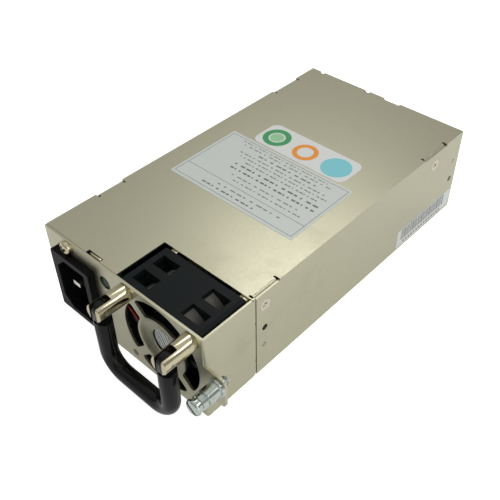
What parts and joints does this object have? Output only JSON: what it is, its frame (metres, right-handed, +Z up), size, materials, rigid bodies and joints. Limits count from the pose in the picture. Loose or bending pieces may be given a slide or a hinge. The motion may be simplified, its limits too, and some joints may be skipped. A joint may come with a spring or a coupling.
{
  "type": "hot swap power supply module",
  "caption": "Hot swap server power supply module: folded metal case with a fan, mains inlet, hinged pull bail, captive screw and a card edge output at the rear.",
  "frame": {"origin": "middle of the case's bottom face", "axes": "+Z up, the front face with the inlet, fan and bail looks along -Y, +X to the right seen from the front is the captive screw's side"},
  "size_m": [0.0924, 0.1799, 0.0405],
  "materials": {
    "nickel_sheet": "warm nickel plated sheet, satin",
    "post_nickel": "pale gold nickel plate, bright",
    "steel_pin": "plain ground steel",
    "bail_black": "glossy black coating",
    "zinc_blue": "bluish zinc plate",
    "screw_steel": "bright plated screws",
    "inlet_black": "moulded black plastic, fine satin",
    "blade_metal": "nickel plated contact metal",
    "fan_black": "moulded black plastic, satin",
    "magnet_dark": "bonded magnet, dull dark grey",
    "lamination": "stacked laminations with varnish",
    "board_green": "green lacquered board",
    "gold_contact": "thin gold plate",
    "lens_green": "dark green clear plastic",
    "film_clear": "pale insulating film",
    "wire_sleeve": "insulated wire",
    "winding": "enamelled copper windings",
    "tape_yellow": "taped winding",
    "ferrite": "pressed ferrite, dull",
    "capacitor_box": "moulded box capacitor",
    "capacitor_can": "sleeved metal can",
    "fuse_glass": "ceramic fuse body",
    "sink_aluminium": "extruded, plain",
    "package_black": "moulded packages"
  },
  "bodies": {
    "case": {"base_tray": "nickel_sheet", "front_panel": "nickel_sheet", "rear_panel": "nickel_sheet", "top_cover": "nickel_sheet", "bail_post_left": "post_nickel", "bail_post_right": "post_nickel", "earth_screw": "post_nickel", "bail_pins": "steel_pin", "fan_bearings": "steel_pin", "fan_pegs": "steel_pin", "captive_ferrule": "zinc_blue", "cover_screws": "screw_steel", "board_screws": "screw_steel", "inlet_housing": "inlet_black", "inlet_blades": "blade_metal", "fuse_clips": "blade_metal", "board_standoffs": "blade_metal", "fan_frame": "fan_black", "fan_stator": "lamination", "main_board": "board_green", "fan_board": "board_green", "lamp_board": "board_green", "control_card": "board_green", "contact_fingers": "gold_contact", "status_lamp": "lens_green", "insulating_film": "film_clear", "inlet_leads": "wire_sleeve", "filter_chokes": "winding", "boost_choke": "winding", "output_choke": "winding", "transformer_coil": "tape_yellow", "transformer_core": "ferrite", "filter_capacitor": "capacitor_box", "reservoir_capacitor": "capacitor_can", "output_capacitors": "capacitor_can", "mains_fuse": "fuse_glass", "primary_heat_sink": "sink_aluminium", "secondary_heat_sink": "sink_aluminium", "power_transistors": "package_black", "rectifier_packages": "package_black", "card_chips": "package_black"},
    "bail": {"pull_bail": "bail_black"},
    "rotor": {"fan_rotor": "fan_black", "fan_shaft": "steel_pin", "fan_magnet": "magnet_dark"},
    "washer": {"captive_washer": "zinc_blue"},
    "screw": {"captive_screw": "zinc_blue"}
  },
  "joints": [
    {"name": "bail_swing", "type": "hinge", "parent": "case", "child": "bail", "pos_m": [0.0198, -0.0891, 0.03625], "axis": [-1, 0, 0], "range_deg": [-5, 185]},
    {"name": "fan_spin", "type": "hinge", "parent": "case", "child": "rotor", "pos_m": [0.0198, -0.0775, 0.02025], "axis": [0, 1, 0], "continuous": true},
    {"name": "captive_screw_slide", "type": "slide", "parent": "case", "child": "washer", "axis": [0, -1, 0], "range_m": [0, 0.0024]},
    {"name": "captive_screw_turn", "type": "hinge", "parent": "washer", "child": "screw", "pos_m": [0.0473, -0.0785, 0.02265], "axis": [0, 1, 0], "continuous": true}
  ]
}
